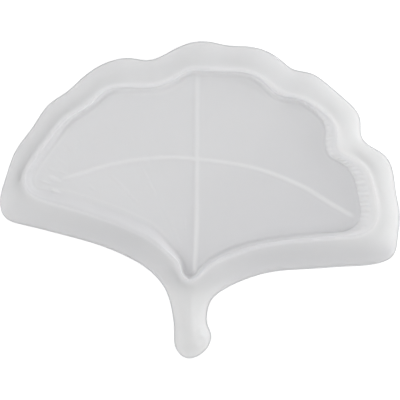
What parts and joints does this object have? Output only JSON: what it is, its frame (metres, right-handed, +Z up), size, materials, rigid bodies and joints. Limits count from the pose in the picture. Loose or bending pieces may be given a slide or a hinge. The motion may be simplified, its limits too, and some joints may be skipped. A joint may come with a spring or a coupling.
{
  "type": "resin casting mould",
  "caption": "Thin translucent silicone mould for casting a fan-leaf tray with a raised edge and a short stem, shown back upwards.",
  "frame": {"origin": "middle of the open rim's plane, at the centre of the mould's box in plan; the open rim rests on z = 0", "axes": "+X along the leaf's width, +Y from the stem towards the scalloped edge, +Z up, out of the mould's back"},
  "size_m": [0.1996, 0.1584, 0.015],
  "materials": {
    "silicone": "translucent white silicone, satin"
  },
  "bodies": {
    "root": {"silicone_mould": "silicone"}
  },
  "joints": []
}
